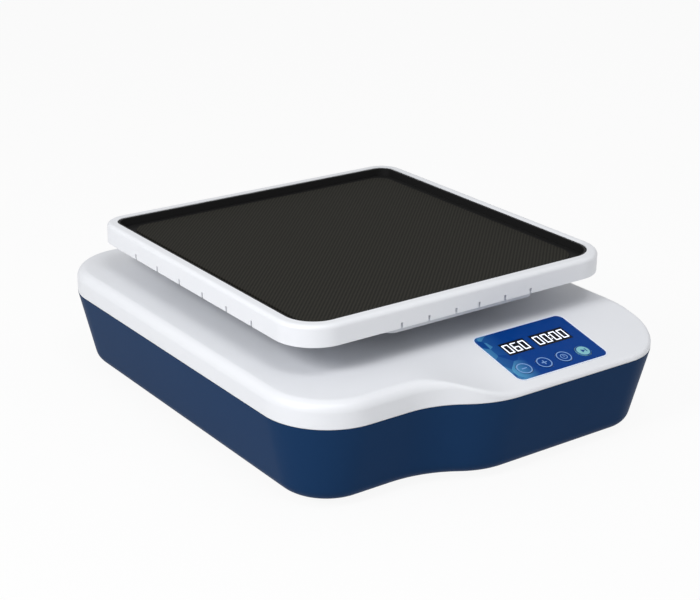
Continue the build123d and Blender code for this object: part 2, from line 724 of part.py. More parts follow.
# Control panel: film, windows, displays, keys, switches and board
film = slab(0, 0, -film_recess, film_width - 2 * film_gap, film_height - 2 * film_gap, film_thickness,
            film_corner - film_gap)
for x in key_places:
    film -= rod(x, key_y, -film_recess - 1, key_radius + key_gap, 5)
for x, width in windows:
    film -= slab(x, window_y, -film_recess - 1, width, window_height, 5)
save("panel_film", panel * film)
window_depth = 0.9
save("display_windows", *[panel * slab(x, window_y, -window_depth, width - 0.1, window_height - 0.1,
                                       window_depth + 0.05) for x, width in windows])
for name, (x, width) in zip(("speed_display", "timer_display"), windows):
    save(name, panel * slab(x, window_y, -board_depth, width, window_height, board_depth - window_depth))
switch_top = 5.2
for name, x in zip(("minus_key", "plus_key", "timer_key", "start_key"), key_places):
    key = rod(x, key_y, key_travel + key_gap - key_pocket, key_radius, key_pocket - key_travel - key_gap + 0.3)
    key += rod(x, key_y, 0.1 + key_travel - switch_top, plunger_radius, switch_top - key_travel - 0.5)
    save(name, panel * key)
switches = []
for x in key_places:
    tact = slab(x, key_y, -board_depth, 6.0, 6.0, 2.8)
    tact += rod(x, key_y, -board_depth, 1.75, board_depth - switch_top)
    switches.append(panel * tact)
save("key_switches", *switches)
board = slab(0, 0, -board_depth - board_thickness, board_width, board_height, board_thickness, 2)
for x, y in board_post_places:
    board -= rod(x, y, -board_depth - board_thickness - 1, screw_hole_radius * 0.7, 5)
save("control_board", panel * board)
save("board_screws", *[panel * screw(x, y, -board_depth - board_thickness, board_screw_length, head_radius=2.0,
                                     head=1.2, radius=screw_radius * 0.6) for x, y in board_post_places])

# Power board
power = slab(power_board_x, power_board_y, power_board_z, power_board_width, power_board_length, board_thickness, 2)
for x, y in power_posts:
    power -= rod(x, y, power_board_z - 1, screw_hole_radius, 4)
power_top = power_board_z + board_thickness
round_components = [(-18.0, 6.0, 15.0), (-4.0, 4.5, 11.0)]
square_components = [(12.0, 14.0, 12.0, 9.0), (25.0, 5.0, 14.0, 7.0)]
for offset, radius, height in round_components:
    power += rod(power_board_x + offset, power_board_y, power_top, radius, height)
for offset, width, length, height in square_components:
    power += block(power_board_x + offset, power_board_y, power_top, width, length, height)
save("power_board", power)
save("power_board_screws", *[screw(x, y, power_top, power_screw_length, up=False, head_radius=2.9, head=1.8)
                             for x, y in power_posts])

# Rear wall: power inlet and rocker switch
inlet_depth = 16.0
inlet_flange = 1.4
inlet_bore_radius = 2.85
inlet_pin_radius = 1.05
inlet_bore_depth = 10.0
inlet = Pos(0, 0, -inlet_depth) * Cylinder(inlet_radius, inlet_depth, align=(Align.CENTER, Align.CENTER, Align.MIN))
inlet += Cylinder(inlet_radius + 2, inlet_flange, align=(Align.CENTER, Align.CENTER, Align.MIN))
inlet -= rod(0, 0, -inlet_bore_depth, inlet_bore_radius, 2 * inlet_bore_depth)
inlet += rod(0, 0, -inlet_bore_depth - 0.5, inlet_pin_radius, inlet_bore_depth + 0.5)
save("power_inlet", rear(inlet_x) * inlet)
bezel = 1.6
rocker_half = 6.8
rocker_width = 8.4
pocket_width = 9.4
pocket_height = 15.4
pocket_depth = 6.5
pivot_depth = 0.6
pivot_radius = 0.8
pivot_reach = 5.8
switch_depth = 14.0
case = slab(0, 0, -switch_depth, switch_cut_width - 0.2, switch_cut_height - 0.2, switch_depth)
case += slab(0, 0, 0, switch_cut_width + 2.6, switch_cut_height + 2.6, bezel, 1.2)
case -= slab(0, 0, bezel - pocket_depth, pocket_width, pocket_height, pocket_depth + 1)
case -= Pos(0, 0, -pivot_depth) * Rot(0, 90, 0) * Cylinder(pivot_radius + 0.06, 2 * pivot_reach + 0.8)
save("switch_housing", rear(switch_x) * case)
profile = make_face(Polyline((-rocker_half, 0.2), (-2.5, -1.6), (2.5, -1.6), (rocker_half, 0.2),
                             (rocker_half, 2.8), (0, 1.7), (-rocker_half, 2.8), close=True))
rocker = extrude(profile, amount=rocker_width / 2, both=True)
rocker += extrude(Circle(pivot_radius), amount=pivot_reach, both=True)
rocker_place = Pos(0, 0, -pivot_depth) * Rot(rocker_tilt, 0, 0) * Rot(0, 90, 0) * Rot(0, 0, 90)
save("switch_rocker", rear(switch_x) * rocker_place * rocker)
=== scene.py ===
"""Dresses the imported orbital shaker: smooth shells, panel printing, finishes, light and camera.

Meshes are drawn in millimetres and brought to metres when they become pieces. Z is up, X is to the
user's right and the control panel faces -Y.
"""

import json
import logging
import math
from collections.abc import Callable, Iterable, Sequence
from dataclasses import dataclass, field
from enum import Enum

import bmesh
import bpy
from mathutils import Matrix, Vector


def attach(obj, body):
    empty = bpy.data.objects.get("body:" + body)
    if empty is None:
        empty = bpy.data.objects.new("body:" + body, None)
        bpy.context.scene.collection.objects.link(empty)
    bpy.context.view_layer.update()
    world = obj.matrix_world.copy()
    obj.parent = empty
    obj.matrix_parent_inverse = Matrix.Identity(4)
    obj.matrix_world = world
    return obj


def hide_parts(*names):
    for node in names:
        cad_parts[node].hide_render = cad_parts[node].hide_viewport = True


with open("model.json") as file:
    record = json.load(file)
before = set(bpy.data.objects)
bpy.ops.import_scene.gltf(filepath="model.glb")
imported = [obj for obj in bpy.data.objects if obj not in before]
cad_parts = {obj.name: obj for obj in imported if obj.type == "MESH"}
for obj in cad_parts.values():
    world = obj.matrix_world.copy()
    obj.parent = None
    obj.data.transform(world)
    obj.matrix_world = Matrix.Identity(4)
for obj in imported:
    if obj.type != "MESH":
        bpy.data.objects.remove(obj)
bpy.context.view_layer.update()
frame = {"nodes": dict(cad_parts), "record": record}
LOG = logging.getLogger("orbital_shaker")
MM = 0.001
BUMP_STRENGTH = 0.6
RIB_PITCH = 0.0019
SECOND_RIBS = 0.25
FACET_SCALE = 95.0
FACET_REACH = 17.0

HeightRule = Callable[[float, float, float], float]


class Body(Enum):
    """The moving groups that pieces ride on."""

    HOUSING = "housing"
    DRIVE = "drive"
    PLATFORM = "platform"
    MINUS = "minus_button"
    PLUS = "plus_button"
    TIMER = "timer_button"
    START = "start_button"
    ROCKER = "rocker"


class Grain(Enum):
    """How the fine relief of a finish runs."""

    MOULDED = "moulded"
    BRUSHED = "brushed"
    RIBBED = "ribbed"
    FACETED = "faceted"


def linear(red: float, green: float, blue: float) -> tuple[float, float, float, float]:
    """Turns a colour as the screen shows it into the renderer's linear values.

    Args:
        red: Red from 0 to 255.
        green: Green from 0 to 255.
        blue: Blue from 0 to 255.

    Returns:
        The linear colour with full opacity.
    """
    def channel(value: float) -> float:
        """Linearises one channel."""
        share = value / 255
        return share / 12.92 if share <= 0.04045 else ((share + 0.055) / 1.055) ** 2.4

    return channel(red), channel(green), channel(blue), 1.0


def add_math(tree: bpy.types.NodeTree, operation: str,
             *values: bpy.types.NodeSocket | float) -> bpy.types.NodeSocket:
    """Adds one math node.

    Args:
        tree: The node tree to add to.
        operation: The node's operation.
        values: A socket or a plain number for each input, in order.

    Returns:
        The node's output.
    """
    node = tree.nodes.new("ShaderNodeMath")
    node.operation = operation
    for socket, value in zip(node.inputs, values):
        if isinstance(value, (int, float)):
            socket.default_value = value
        else:
            tree.links.new(value, socket)
    return node.outputs[0]


class NodeGroups:
    """Shader node groups shared by several finishes, each made once."""

    def __init__(self) -> None:
        """Starts with no group made."""
        self.made: dict[str, bpy.types.NodeTree] = {}

    def start(self, name: str, inputs: Sequence[tuple[str, str, object]], outputs: Sequence[str]) -> tuple:
        """Makes an empty group with its sockets.

        Args:
            name: The group's name.
            inputs: Name, socket type and default of each input.
            outputs: Names of the outputs, which all carry one value.

        Returns:
            The group, its input node and its output node.
        """
        tree = bpy.data.node_groups.new(name, "ShaderNodeTree")
        for label, kind, default in inputs:
            socket = tree.interface.new_socket(label, in_out="INPUT", socket_type=kind)
            if default is not None:
                socket.default_value = default
        for label in outputs:
            tree.interface.new_socket(label, in_out="OUTPUT", socket_type="NodeSocketFloat")
        self.made[name] = tree
        return tree, tree.nodes.new("NodeGroupInput"), tree.nodes.new("NodeGroupOutput")

    def grain(self, brushed: bool) -> bpy.types.NodeTree:
        """Fine relief with a broad, faint cloudiness.

        Args:
            brushed: Whether the relief runs in fine lines along X, as left by turning or rolling.

        Returns:
            The group.
        """
        name = "brushed_lines" if brushed else "moulded_grain"
        if name in self.made:
            return self.made[name]
        tree, source, sink = self.start(
            name,
            [("Vector", "NodeSocketVector", None), ("Fine Scale", "NodeSocketFloat", 1500.0),
             ("Broad Scale", "NodeSocketFloat", 9.0)],
            ["Fine", "Broad"],
        )
        fine = broad = source.outputs["Vector"]
        if brushed:
            stretch = tree.nodes.new("ShaderNodeVectorMath")
            stretch.operation = "MULTIPLY"
            stretch.inputs[1].default_value = (0.04, 1.0, 1.0)
            tree.links.new(source.outputs["Vector"], stretch.inputs[0])
            fine = stretch.outputs[0]
        for label, vector, detail in (("Fine", fine, 2.0), ("Broad", broad, 2.0 if brushed else 3.0)):
            noise = tree.nodes.new("ShaderNodeTexNoise")
            noise.inputs["Detail"].default_value = detail
            tree.links.new(vector, noise.inputs["Vector"])
            tree.links.new(source.outputs[f"{label} Scale"], noise.inputs["Scale"])
            tree.links.new(noise.outputs["Fac"], sink.inputs[label])
        return tree

    def ribs(self) -> bpy.types.NodeTree:
        """Straight ribs of a given pitch, square to a given direction."""
        if "rib_lines" in self.made:
            return self.made["rib_lines"]
        tree, source, sink = self.start(
            "rib_lines",
            [("Vector", "NodeSocketVector", None), ("Across", "NodeSocketVector", (0.7071, -0.7071, 0.0)),
             ("Pitch", "NodeSocketFloat", 0.002)],
            ["Ridge"],
        )
        along = tree.nodes.new("ShaderNodeVectorMath")
        along.operation = "DOT_PRODUCT"
        tree.links.new(source.outputs["Vector"], along.inputs[0])
        tree.links.new(source.outputs["Across"], along.inputs[1])
        turns = add_math(tree, "DIVIDE", along.outputs["Value"], source.outputs["Pitch"])
        wave = add_math(tree, "SINE", add_math(tree, "MULTIPLY", turns, 2 * math.pi))
        tree.links.new(add_math(tree, "MULTIPLY_ADD", wave, 0.5, 0.5), sink.inputs["Ridge"])
        return tree


GROUPS = NodeGroups()


@dataclass(frozen=True)
class Finish:
    """One surface finish: colours, gloss and relief.

    Attributes:
        name: The material's name.
        colour: Its main colour as the screen shows it.
        second: The colour that the broad variation runs to; on a ribbed finish, the painted highlight on the
            ridges.
        roughness: Roughness in the middle of its range.
        metallic: 1 for bare metal, 0 for the rest.
        grain: How the fine relief runs.
        fine_scale: Scale of the fine relief.
        broad_scale: Scale of the broad variation.
        relief: Depth of the fine relief in metres.
        coat: Weight of a clear coat.
        glow: Strength of its own light.
        specular: Strength of its plain reflection.
    """

    name: str
    colour: tuple[int, int, int]
    second: tuple[int, int, int]
    roughness: float = 0.4
    metallic: float = 0.0
    grain: Grain = Grain.MOULDED
    fine_scale: float = 1500.0
    broad_scale: float = 9.0
    relief: float = 0.00002
    coat: float = 0.0
    glow: float = 0.0
    specular: float = 0.5

    def build(self) -> bpy.types.Material:
        """Makes the node material.

        Returns:
            The material, ready to assign.
        """
        made = bpy.data.materials.get(self.name)
        if made:
            return made
        material = bpy.data.materials.new(self.name)
        material.use_nodes = True
        tree = material.node_tree
        shader = tree.nodes["Principled BSDF"]
        shader.inputs["Metallic"].default_value = self.metallic
        shader.inputs["Coat Weight"].default_value = self.coat
        shader.inputs["Specular IOR Level"].default_value = self.specular
        place = tree.nodes.new("ShaderNodeTexCoord")
        grain = tree.nodes.new("ShaderNodeGroup")
        grain.node_tree = GROUPS.grain(self.grain is Grain.BRUSHED)
        grain.inputs["Fine Scale"].default_value = self.fine_scale
        grain.inputs["Broad Scale"].default_value = self.broad_scale
        tree.links.new(place.outputs["Object"], grain.inputs["Vector"])
        fine, broad = grain.outputs["Fine"], grain.outputs["Broad"]
        # On ribbed finishes the colour follows the rib height too: painted shade darkens the grooves and a
        # painted highlight lightens the ridges.
        if self.grain is Grain.RIBBED:
            fine = self.ribs(tree, place.outputs["Object"])
            broad = fine
        blend = tree.nodes.new("ShaderNodeMix")
        blend.data_type = "RGBA"
        blend.inputs["A"].default_value = linear(*self.colour)
        blend.inputs["B"].default_value = linear(*self.second)
        if self.grain is Grain.FACETED:
            broad = self.facets(tree, place.outputs["Object"])
        tree.links.new(broad, blend.inputs["Factor"])
        tree.links.new(blend.outputs["Result"], shader.inputs["Base Color"])
        gloss = tree.nodes.new("ShaderNodeMapRange")
        gloss.inputs["To Min"].default_value = max(self.roughness - 0.05, 0.02)
        gloss.inputs["To Max"].default_value = min(self.roughness + 0.05, 1.0)
        tree.links.new(fine, gloss.inputs["Value"])
        tree.links.new(gloss.outputs["Result"], shader.inputs["Roughness"])
        bump = tree.nodes.new("ShaderNodeBump")
        bump.inputs["Strength"].default_value = BUMP_STRENGTH
        bump.inputs["Distance"].default_value = self.relief
        tree.links.new(fine, bump.inputs["Height"])
        tree.links.new(bump.outputs["Normal"], shader.inputs["Normal"])
        if self.glow > 0:
            tree.links.new(blend.outputs["Result"], shader.inputs["Emission Color"])
            shader.inputs["Emission Strength"].default_value = self.glow
        return material

    def ribs(self, tree: bpy.types.NodeTree, place: bpy.types.NodeSocket) -> bpy.types.NodeSocket:
        """Adds two crossing sets of ribs, the second much fainter.

        Args:
            tree: The material's node tree.
            place: The socket that gives the surface's place.

        Returns:
            The socket with the height of the ribs, from 0 to 1, which also sets the painted shade of the
            grooves.
        """
        sets = []
        for across in ((0.7071, -0.7071, 0.0), (0.7071, 0.7071, 0.0)):
            rib = tree.nodes.new("ShaderNodeGroup")
            rib.node_tree = GROUPS.ribs()
            rib.inputs["Across"].default_value = across
            rib.inputs["Pitch"].default_value = RIB_PITCH
            tree.links.new(place, rib.inputs["Vector"])
            sets.append(rib.outputs["Ridge"])
        mix = tree.nodes.new("ShaderNodeMix")
        mix.data_type = "FLOAT"
        mix.inputs["Factor"].default_value = SECOND_RIBS
        tree.links.new(sets[0], mix.inputs["A"])
        tree.links.new(sets[1], mix.inputs["B"])
        return mix.outputs["Result"]

    def facets(self, tree: bpy.types.NodeTree, place: bpy.types.NodeSocket) -> bpy.types.NodeSocket:
        """Adds plain lighter facets that fade out from the film's left edge.

        Args:
            tree: The material's node tree.
            place: The socket that gives the surface's place.

        Returns:
            The socket with the share of the second colour.
        """
        cells = tree.nodes.new("ShaderNodeTexVoronoi")
        cells.inputs["Scale"].default_value = FACET_SCALE
        tree.links.new(place, cells.inputs["Vector"])
        tone = tree.nodes.new("ShaderNodeSeparateColor")
        tree.links.new(cells.outputs["Color"], tone.inputs[0])
        split = tree.nodes.new("ShaderNodeSeparateXYZ")
        tree.links.new(place, split.inputs[0])
        fade = tree.nodes.new("ShaderNodeMapRange")
        left = (Panel.centre_x - Panel.film_width / 2) * MM
        fade.inputs["From Min"].default_value = left
        fade.inputs["From Max"].default_value = left + FACET_REACH * MM
        fade.inputs["To Min"].default_value = 1.0
        fade.inputs["To Max"].default_value = 0.0
        tree.links.new(split.outputs["X"], fade.inputs["Value"])
        return add_math(tree, "MULTIPLY", fade.outputs["Result"], tone.outputs[0])


class Finishes:
    """Every finish on the shaker, by the part it belongs to."""

    cover = Finish("white_cover_plastic", (226, 228, 232), (222, 224, 229), 0.4, relief=0.00001)
    tray = Finish("white_tray_plastic", (228, 230, 234), (224, 226, 231), 0.38, relief=0.00001)
    base = Finish("navy_base_plastic", (26, 55, 92), (22, 50, 85), 0.42, relief=0.00001, specular=0.02)
    liner = Finish("black_liner_plastic", (25, 25, 25), (20, 20, 21), 0.55, relief=0.00004,
                   fine_scale=2200.0, specular=0.25)
    # Painted shade and highlight: the darker colour is painted in the rib grooves, the lighter one on the
    # ridges.
    mat = Finish("ribbed_mat_rubber_painted_groove_shade", (22, 21, 18), (48, 47, 42), 0.75, grain=Grain.RIBBED,
                 relief=0.00025, specular=0.12)
    film = Finish("blue_panel_film", (0, 56, 130), (84, 156, 196), 0.4, grain=Grain.FACETED, specular=0.08)
    printing = Finish("pale_panel_print", (124, 162, 214), (116, 154, 208), 0.4)
    border = Finish("white_panel_print", (226, 234, 250), (220, 228, 246), 0.4)
    green_key = Finish("green_key_film", (128, 190, 200), (118, 182, 192), 0.35, coat=0.3)
    window = Finish("dark_display_window", (4, 6, 16), (3, 4, 13), 0.3, specular=0.15)
    digit = Finish("lit_display_segment", (242, 246, 255), (236, 242, 255), 0.5, glow=0.55)
    feet = Finish("black_foot_rubber", (30, 30, 31), (38, 38, 38), 0.75, relief=0.00005)
    carrier = Finish("pale_painted_plate", (206, 209, 215), (198, 202, 208), 0.4)
    steel = Finish("rolled_steel", (158, 160, 163), (142, 144, 148), 0.36, 1.0, Grain.BRUSHED)
    ground = Finish("ground_steel", (176, 177, 180), (160, 162, 165), 0.24, 1.0, Grain.BRUSHED)
    aluminium = Finish("turned_aluminium", (190, 192, 196), (176, 178, 183), 0.34, 1.0, Grain.BRUSHED)
    bearing = Finish("polished_bearing_steel", (186, 188, 192), (170, 172, 178), 0.16, 1.0, Grain.BRUSHED)
    screws = Finish("plated_screw_steel", (150, 152, 156), (134, 136, 140), 0.3, 1.0, Grain.BRUSHED)
    black = Finish("black_moulding", (26, 26, 28), (33, 33, 35), 0.42, relief=0.00003)
    motor = Finish("black_painted_can", (36, 37, 40), (44, 45, 48), 0.45, relief=0.00003)
    board = Finish("green_circuit_board", (14, 84, 46), (20, 98, 56), 0.4, coat=0.3)
    display = Finish("grey_display_case", (58, 60, 64), (66, 68, 72), 0.5)

    by_slot = {
        "base_blue": base, "cover_white": cover, "tray_white": tray, "liner_black": liner, "mat_rubber": mat,
        "foot_rubber": feet, "belt_rubber": feet, "seal_black": feet, "film_blue": film,
        "window_dark": window, "display_grey": display, "key_pale": film, "key_green": green_key,
        "switch_black": black, "rocker_black": black, "board_green": board, "motor_black": motor,
        "plate_steel": steel, "carrier_light": carrier, "cast_aluminium": aluminium,
        "pulley_aluminium": aluminium, "ground_steel": ground, "bearing_steel": bearing,
        "screw_steel": screws,
    }


def finish_piece(mesh: bpy.types.Mesh, name: str, body: Body, finish: Finish,
                 replaces: Iterable[str] = (), crease: float = 32.0) -> bpy.types.Object:
    """Makes a piece from a mesh in metres, dresses it and ties it to its body.

    Args:
        mesh: The piece's mesh, already in place.
        name: The piece's name.
        body: The body that it rides on.
        finish: Its finish.
        replaces: The nodes that it stands for.
        crease: The angle in degrees past which an edge stays sharp.

    Returns:
        The new object.
    """
    mesh.name = name
    mesh.polygons.foreach_set("use_smooth", [True] * len(mesh.polygons))
    mesh.set_sharp_from_angle(angle=math.radians(crease))
    mesh.materials.clear()
    mesh.materials.append(finish.build())
    piece = bpy.data.objects.new(name, mesh)
    bpy.context.scene.collection.objects.link(piece)
    weigh_normals(piece)
    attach(piece, body.value)
    nodes = list(replaces)
    if nodes:
        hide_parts(*nodes)
    LOG.info("piece %s: %d faces, rides on %s", name, len(mesh.polygons), body.value)
    return piece


def weigh_normals(piece: bpy.types.Object) -> None:
    """Lets broad faces lead the smooth shading, so that flat walls beside round corners stay flat.

    Args:
        piece: The piece, whose mesh is replaced by one that holds the weighed normals.
    """
    modifier = piece.modifiers.new("weighed", "WEIGHTED_NORMAL")
    modifier.mode = "FACE_AREA"
    modifier.keep_sharp = True
    bpy.context.view_layer.update()
    shaded = bpy.data.meshes.new_from_object(piece.evaluated_get(bpy.context.evaluated_depsgraph_get()))
    piece.modifiers.remove(modifier)
    shaded.name = piece.name
    piece.data = shaded


def to_mesh(bm: bmesh.types.BMesh, name: str, place: Matrix | None = None) -> bpy.types.Mesh:
    """Turns a shape drawn in millimetres into a closed mesh in metres.

    Args:
        bm: The shape, which is freed.
        name: The mesh's name.
        place: Where the shape's own frame lies, in millimetres.

    Returns:
        The mesh with its faces pointing outwards.
    """
    bmesh.ops.remove_doubles(bm, verts=bm.verts, dist=1e-5)
    bmesh.ops.recalc_face_normals(bm, faces=bm.faces)
    bmesh.ops.transform(bm, matrix=Matrix.Scale(MM, 4) @ (place or Matrix()), verts=bm.verts)
    mesh = bpy.data.meshes.new(name)
    bm.to_mesh(mesh)
    bm.free()
    return mesh


def carve(mesh: bpy.types.Mesh, cutter: bpy.types.Mesh) -> bpy.types.Mesh:
    """Cuts one closed mesh out of another.

    Args:
        mesh: The mesh to cut.
        cutter: The closed mesh to take away, which may have several islands.

    Returns:
        The cut mesh.
    """
    scene = bpy.context.scene
    solid = bpy.data.objects.new("uncut", mesh)
    tool = bpy.data.objects.new("cutter", cutter)
    for item in (solid, tool):
        scene.collection.objects.link(item)
    boolean = solid.modifiers.new("cut", "BOOLEAN")
    boolean.operation = "DIFFERENCE"
    boolean.solver = "EXACT"
    boolean.object = tool
    bpy.context.view_layer.update()
    cut = bpy.data.meshes.new_from_object(solid.evaluated_get(bpy.context.evaluated_depsgraph_get()))
    for item in (solid, tool):
        bpy.data.objects.remove(item)
    return cut


@dataclass(frozen=True)
class Arc:
    """One round corner of a plan, in millimetres and degrees."""

    x: float
    y: float
    radius: float
    start: float
    sweep: float

    def first_point(self) -> Vector:
        """Where the arc begins."""
        angle = math.radians(self.start)
        return Vector((self.x + self.radius * math.cos(angle), self.y + self.radius * math.sin(angle), 0))


class Plan:
    """A closed outline of arcs joined by straight runs, which rows of faces are pulled from."""

    def __init__(self, arcs: Sequence[Arc], arc_step: float = 6.0, run_step: float = 4.0) -> None:
        """Keeps the outline's arcs.

        Args:
            arcs: The arcs in order, counter-clockwise.
            arc_step: Degrees between points on an arc.
            run_step: Millimetres between points on a straight run.
        """
        self.arcs = list(arcs)
        self.arc_step = arc_step
        self.run_step = run_step

    def loop(self, bm: bmesh.types.BMesh, height: float = 0.0) -> list[bmesh.types.BMEdge]:
        """Draws the outline and stores each point's way inwards.

        Args:
            bm: The shape to draw in.
            height: The outline's height.

        Returns:
            The outline's edges.
        """
        inward = bm.verts.layers.float_vector.get("inward") or bm.verts.layers.float_vector.new("inward")
        ends, edges = [], []
        for arc in self.arcs:
            first = bm.verts.new(arc.first_point() + Vector((0, 0, height)))
            steps = max(2, round(abs(arc.sweep) / self.arc_step))
            bmesh.ops.spin(bm, geom=[first], cent=(arc.x, arc.y, height), axis=(0, 0, 1),
                           angle=math.radians(arc.sweep), steps=steps)
            points = [first]
            while True:
                ahead = [e for e in points[-1].link_edges if e not in edges]
                if not ahead:
                    break
                edges.append(ahead[0])
                points.append(ahead[0].other_vert(points[-1]))
            for point in points:
                way = Vector((arc.x, arc.y, height)) - point.co
                point[inward] = way.normalized() * math.copysign(1, arc.sweep)
            ends.append((points[0], points[-1]))
        for place, (_, last) in enumerate(ends):
            first = ends[(place + 1) % len(ends)][0]
            gap = (first.co - last.co).length
            if gap < 1e-4:
                continue
            cuts = int(gap / self.run_step)
            stride = (first.co - last.co) / (cuts + 1)
            for _ in range(cuts):
                made = bmesh.ops.extrude_vert_indiv(bm, verts=[last])["verts"][0]
                made.co = last.co + stride
                made[inward] = last[inward]
                last = made
            bm.edges.new((last, first))
        bmesh.ops.remove_doubles(bm, verts=bm.verts, dist=1e-4)
        return [e for e in bm.edges if not e.link_faces]

    @staticmethod
    def rows(bm: bmesh.types.BMesh, edges: list[bmesh.types.BMEdge], start: float,
             path: Sequence[tuple[float, float | HeightRule]]) -> list[bmesh.types.BMEdge]:
        """Pulls rows of faces from an outline.

        Args:
            bm: The shape that holds the outline.
            edges: The outline's edges.
            start: The inset of the outline as it stands.
            path: Each row's inset, and its height or a rule for it.

        Returns:
            The edges of the last row.
        """
        inward = bm.verts.layers.float_vector["inward"]
        before = start
        for inset, height in path:
            made = bmesh.ops.extrude_edge_only(bm, edges=edges)["geom"]
            fresh = {item for item in made if isinstance(item, bmesh.types.BMVert)}
            edges = [item for item in made if isinstance(item, bmesh.types.BMEdge)
                     and item.verts[0] in fresh and item.verts[1] in fresh]
            for point in fresh:
                point.co += point[inward] * (inset - before)
                x, y = point.co.x, point.co.y
                point.co.z = height(x, y, inset) if callable(height) else height
            before = inset
        return edges

    @staticmethod
    def cap(bm: bmesh.types.BMesh, edges: list[bmesh.types.BMEdge]) -> bmesh.types.BMFace:
        """Closes a row with one face."""
        return bmesh.ops.contextual_create(bm, geom=edges)["faces"][0]


def rectangle_plan(width: float, height: float, corner: float, x: float = 0.0, y: float = 0.0,
                   arc_step: float = 10.0) -> Plan:
    """The plan of a rectangle with equal round corners.

    Args:
        width: Its size along X.
        height: Its size along Y.
        corner: The corner radius.
        x: The middle along X.
        y: The middle along Y.
        arc_step: Degrees between points on a corner.

    Returns:
        The plan.
    """
    right, top = width / 2 - corner, height / 2 - corner
    corners = [(right, -top, 270), (right, top, 0), (-right, top, 90), (-right, -top, 180)]
    return Plan([Arc(x + cx, y + cy, corner, start, 90) for cx, cy, start in corners], arc_step, 1e6)


def merge(bm: bmesh.types.BMesh, part: bmesh.types.BMesh, place: Matrix | None) -> None:
    """Moves a closed part into a shape.

    Args:
        bm: The shape to add to.
        part: The part, which is freed.
        place: Where the part's own frame lies.
    """
    bmesh.ops.recalc_face_normals(part, faces=part.faces)
    if place:
        bmesh.ops.transform(part, matrix=place, verts=part.verts)
    carry = bpy.data.meshes.new("carry")
    part.to_mesh(carry)
    part.free()
    bm.from_mesh(carry)
    bpy.data.meshes.remove(carry)


def add_slab(bm: bmesh.types.BMesh, plan: Plan, low: float, high: float, place: Matrix | None = None) -> None:
    """Adds a flat block of a given plan to a shape.

    Args:
        bm: The shape to add to.
        plan: The block's outline.
        low: The height of its foot.
        high: The height of its top.
        place: Where the block's own frame lies.
    """
    part = bmesh.new()
    edges = plan.loop(part, low)
    top = plan.rows(part, edges, 0.0, [(0.0, high)])
    plan.cap(part, top)
    plan.cap(part, [e for e in part.edges if e.is_boundary])
    merge(bm, part, place)


def add_turned(bm: bmesh.types.BMesh, section: Sequence[tuple[float, float]], x: float, y: float,
               steps: int = 32, place: Matrix | None = None) -> None:
    """Adds a turned ring to a shape by spinning a closed section.

    Args:
        bm: The shape to add to.
        section: Radius and height of each corner of the section.
        x: The axis along X.
        y: The axis along Y.
        steps: Steps round the ring.
        place: Where the ring's own frame lies.
    """
    part = bmesh.new()
    points = [part.verts.new((x + radius, y, height)) for radius, height in section]
    edges = [part.edges.new((points[k], points[(k + 1) % len(points)])) for k in range(len(points))]
    bmesh.ops.spin(part, geom=points + edges, cent=(x, y, 0), axis=(0, 0, 1), angle=2 * math.pi,
                   steps=steps, use_merge=True)
    bmesh.ops.remove_doubles(part, verts=part.verts, dist=1e-5)
    merge(bm, part, place)


def add_rod(bm: bmesh.types.BMesh, x: float, y: float, radius: float, low: float, high: float,
            place: Matrix | None = None, steps: int = 32) -> None:
    """Adds an upright round cutter to a shape.

    Args:
        bm: The shape to add to.
        x: Its axis along X.
        y: Its axis along Y.
        radius: Its radius.
        low: The height of its foot.
        high: The height of its top.
        place: Where its own frame lies.
        steps: Steps round it.
    """
    where = Matrix.Translation((x, y, (low + high) / 2))
    bmesh.ops.create_cone(bm, cap_ends=True, segments=steps, radius1=radius, radius2=radius,
                          depth=high - low, matrix=(place or Matrix()) @ where)


@dataclass(frozen=True)
class Housing:
    """Sizes shared by the cover and the base, in millimetres."""

    half_width: float = 121.0
    back_y: float = 148.0
    nose_y: float = -148.0
    front_left_y: float = -130.0
    corner_front_left: float = 39.0
    corner_front_right: float = 34.0
    corner_back: float = 38.0
    step_start_x: float = -57.0
    step_end_x: float = 4.4
    seam_z: float = 51.0
    wall: float = 3.0
    drive_y: float = 9.0
    idler_spread: float = 55.0
    idler_hole: float = 8.0
    drive_hole: float = 12.0

    def plan(self) -> Plan:
        """The outline at the seam, with its stepped front."""
        run = (self.step_end_x - self.step_start_x) / 2
        drop = (self.front_left_y - self.nose_y) / 2
        radius = (run**2 + drop**2) / (2 * drop)
        angle = math.degrees(math.asin(run / radius))
        left, right = -self.half_width, self.half_width
        fl, fr, back = self.corner_front_left, self.corner_front_right, self.corner_back
        return Plan([
            Arc(left + fl, self.front_left_y + fl, fl, 180, 90),
            Arc(self.step_start_x, self.front_left_y - radius, radius, 90, -angle),
            Arc(self.step_end_x, self.nose_y + radius, radius, 270 - angle, angle),
            Arc(right - fr, self.nose_y + fr, fr, 270, 90),
            Arc(right - back, self.back_y - back, back, 0, 90),
            Arc(left + back, self.back_y - back, back, 90, 90),
        ], arc_step=4.0)


@dataclass(frozen=True)
class Panel:
    """The sloped panel's frame and sizes, in millimetres."""

    centre_x: float = 43.0
    centre_y: float = -119.4
    fold_y: float = -96.0
    top_z: float = 66.0
    nose_top_z: float = 54.0
    nose_y: float = -148.0
    film_width: float = 67.0
    film_height: float = 44.5
    film_corner: float = 5.0
    film_top: float = 0.1
    film_recess: float = 0.5
    key_pocket: float = 1.3
    window_height: float = 11.4
    window_y: float = 5.5
    speed_x: float = -13.2
    speed_width: float = 18.2
    timer_x: float = 12.3
    timer_width: float = 25.0
    key_radius: float = 4.7
    key_gap: float = 0.3
    key_y: float = -13.0
    key_top: float = 0.3
    key_xs: tuple[float, ...] = (-23.0, -8.5, 6.0, 20.5)

    def steepness(self) -> float:
        """Rise of the panel for each millimetre towards the back."""
        return (self.top_z - self.nose_top_z) / (self.fold_y - self.nose_y)

    def place(self) -> Matrix:
        """The panel's own frame: X to the right, Y up the slope, Z out of it."""
        height = self.top_z + (self.centre_y - self.fold_y) * self.steepness()
        lean = Matrix.Rotation(math.atan(self.steepness()), 4, "X")
        return Matrix.Translation((self.centre_x, self.centre_y, height)) @ lean


